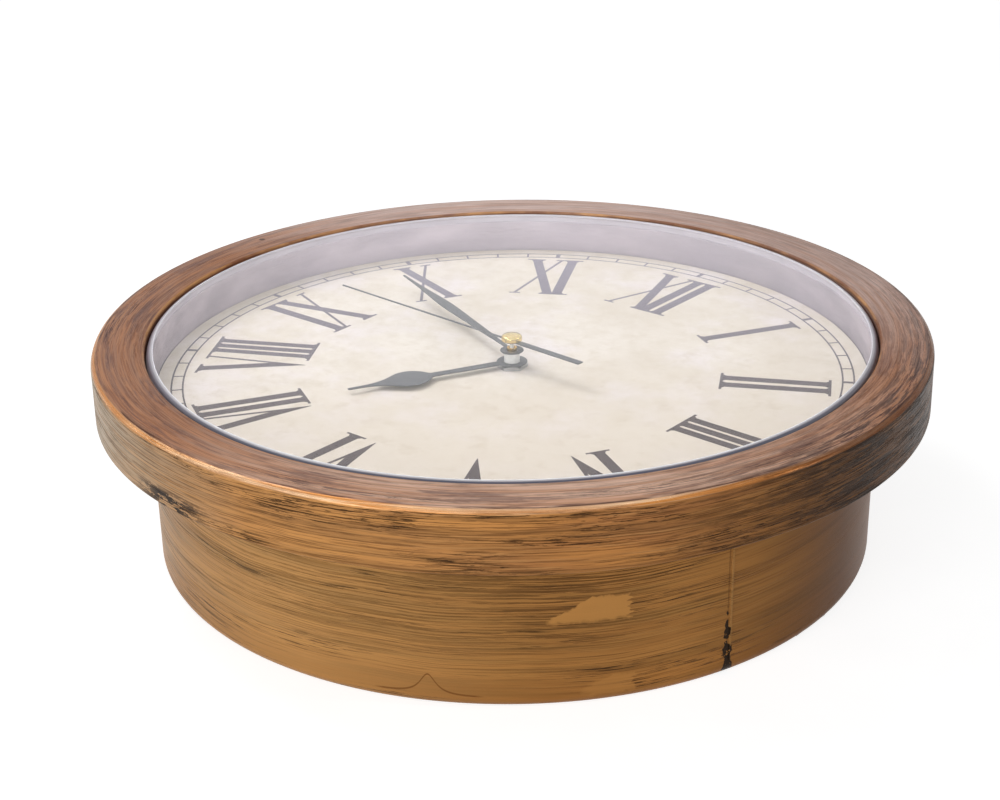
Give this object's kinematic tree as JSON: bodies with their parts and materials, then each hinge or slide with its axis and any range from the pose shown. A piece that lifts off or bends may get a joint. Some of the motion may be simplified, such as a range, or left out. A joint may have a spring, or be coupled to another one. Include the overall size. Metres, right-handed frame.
{
  "type": "clock diversion safe",
  "caption": "Round wall clock in a bronze finish whose hinged dial opens on hidden compartments, with a working quartz movement and hands.",
  "frame": {"origin": "centre of the case's flat back, on the wall's plane", "axes": "+Z out of the dial, +Y towards XII, +X towards III"},
  "size_m": [0.26, 0.26, 0.0697],
  "materials": {
    "bronze_paint": "moulded plastic, painted in bronze and brushed",
    "clear_lens": "clear moulded plastic, polished",
    "dial_card_stock": "aged parchment print on card",
    "dark_plastic": "fine moulded texture",
    "white_plastic": "moulded acetal",
    "hand_paint": "dark grey satin paint",
    "steel": "zinc-plated",
    "brass": "polished",
    "magnet": "sintered ferrite",
    "copper_winding": "enamelled copper wire",
    "circuit_board": "solder mask",
    "battery_wrap": "printed sleeve on steel"
  },
  "bodies": {
    "case": {"case_shell": "bronze_paint", "shelf_upper": "dark_plastic", "shelf_lower": "dark_plastic", "divider_left": "dark_plastic", "divider_right": "dark_plastic", "keyhole_plate": "steel", "keyhole_rivet_left": "steel", "keyhole_rivet_right": "steel", "catch_magnet": "magnet", "hinge_case_leaf": "steel", "hinge_pin": "steel", "hinge_case_screw_1": "steel", "hinge_case_screw_2": "steel"},
    "door": {"bezel_ring": "bronze_paint", "lens": "clear_lens", "dial_card": "dial_card_stock", "dial_plate": "dark_plastic", "back_cover": "dark_plastic", "cover_screw_1": "steel", "cover_screw_2": "steel", "cover_screw_3": "steel", "cover_screw_4": "steel", "hinge_door_leaf": "steel", "hinge_door_screw_1": "steel", "hinge_door_screw_2": "steel", "keeper_plate": "steel", "movement_housing": "dark_plastic", "movement_cover": "dark_plastic", "middle_plate": "white_plastic", "circuit_board": "circuit_board", "stator_plate": "steel", "coil": "copper_winding", "battery": "battery_wrap", "contact_positive": "steel", "contact_negative": "steel", "dial_bush": "brass", "dial_nut": "steel"},
    "minute": {"minute_hand": "hand_paint", "minute_pipe": "brass"},
    "hour": {"hour_hand": "hand_paint", "hour_wheel": "white_plastic"},
    "motion": {"motion_wheel": "white_plastic"},
    "setting": {"set_knob": "white_plastic"},
    "second": {"second_hand": "hand_paint", "second_cap": "brass", "seconds_wheel": "white_plastic"},
    "third": {"third_wheel": "white_plastic"},
    "centre": {"centre_wheel": "white_plastic"},
    "fifth": {"fifth_wheel": "white_plastic"},
    "rotor": {"rotor": "magnet"}
  },
  "joints": [
    {"name": "door_hinge", "type": "hinge", "parent": "case", "child": "door", "pos_m": [-0.1177, 0, 0.0479], "axis": [0, -1, 0], "range_deg": [0, 100]},
    {"name": "minute_turn", "type": "hinge", "parent": "door", "child": "minute", "pos_m": [0, 0, 0.05], "axis": [0, 0, -1], "continuous": true},
    {"name": "hour_turn", "type": "hinge", "parent": "door", "child": "hour", "pos_m": [0, 0, 0.05], "axis": [0, 0, -1], "continuous": true},
    {"name": "motion_turn", "type": "hinge", "parent": "door", "child": "motion", "pos_m": [0, 0.0072, 0.05], "axis": [0, 0, -1], "continuous": true},
    {"name": "setting_turn", "type": "hinge", "parent": "door", "child": "setting", "pos_m": [0, 0.0147, 0.05], "axis": [0, 0, -1], "continuous": true},
    {"name": "second_turn", "type": "hinge", "parent": "door", "child": "second", "pos_m": [0, 0, 0.05], "axis": [0, 0, -1], "continuous": true},
    {"name": "third_turn", "type": "hinge", "parent": "door", "child": "third", "pos_m": [-0.0102, 0, 0.05], "axis": [0, 0, -1], "continuous": true},
    {"name": "centre_turn", "type": "hinge", "parent": "door", "child": "centre", "pos_m": [0, 0, 0.05], "axis": [0, 0, -1], "continuous": true},
    {"name": "fifth_turn", "type": "hinge", "parent": "door", "child": "fifth", "pos_m": [0.00789, 0.00287, 0.05], "axis": [0, 0, -1], "continuous": true},
    {"name": "rotor_turn", "type": "hinge", "parent": "door", "child": "rotor", "pos_m": [0.01413, 0.00647, 0.05], "axis": [0, 0, -1], "continuous": true}
  ],
  "couplings": [
    {"joint": "hour_turn", "follows": "minute_turn", "ratio": 0.083333},
    {"joint": "motion_turn", "follows": "minute_turn", "ratio": -0.33333},
    {"joint": "setting_turn", "follows": "minute_turn", "ratio": 0.85714},
    {"joint": "third_turn", "follows": "second_turn", "ratio": -0.13333},
    {"joint": "centre_turn", "follows": "second_turn", "ratio": 0.016667},
    {"joint": "fifth_turn", "follows": "second_turn", "ratio": -6},
    {"joint": "rotor_turn", "follows": "second_turn", "ratio": 30}
  ]
}
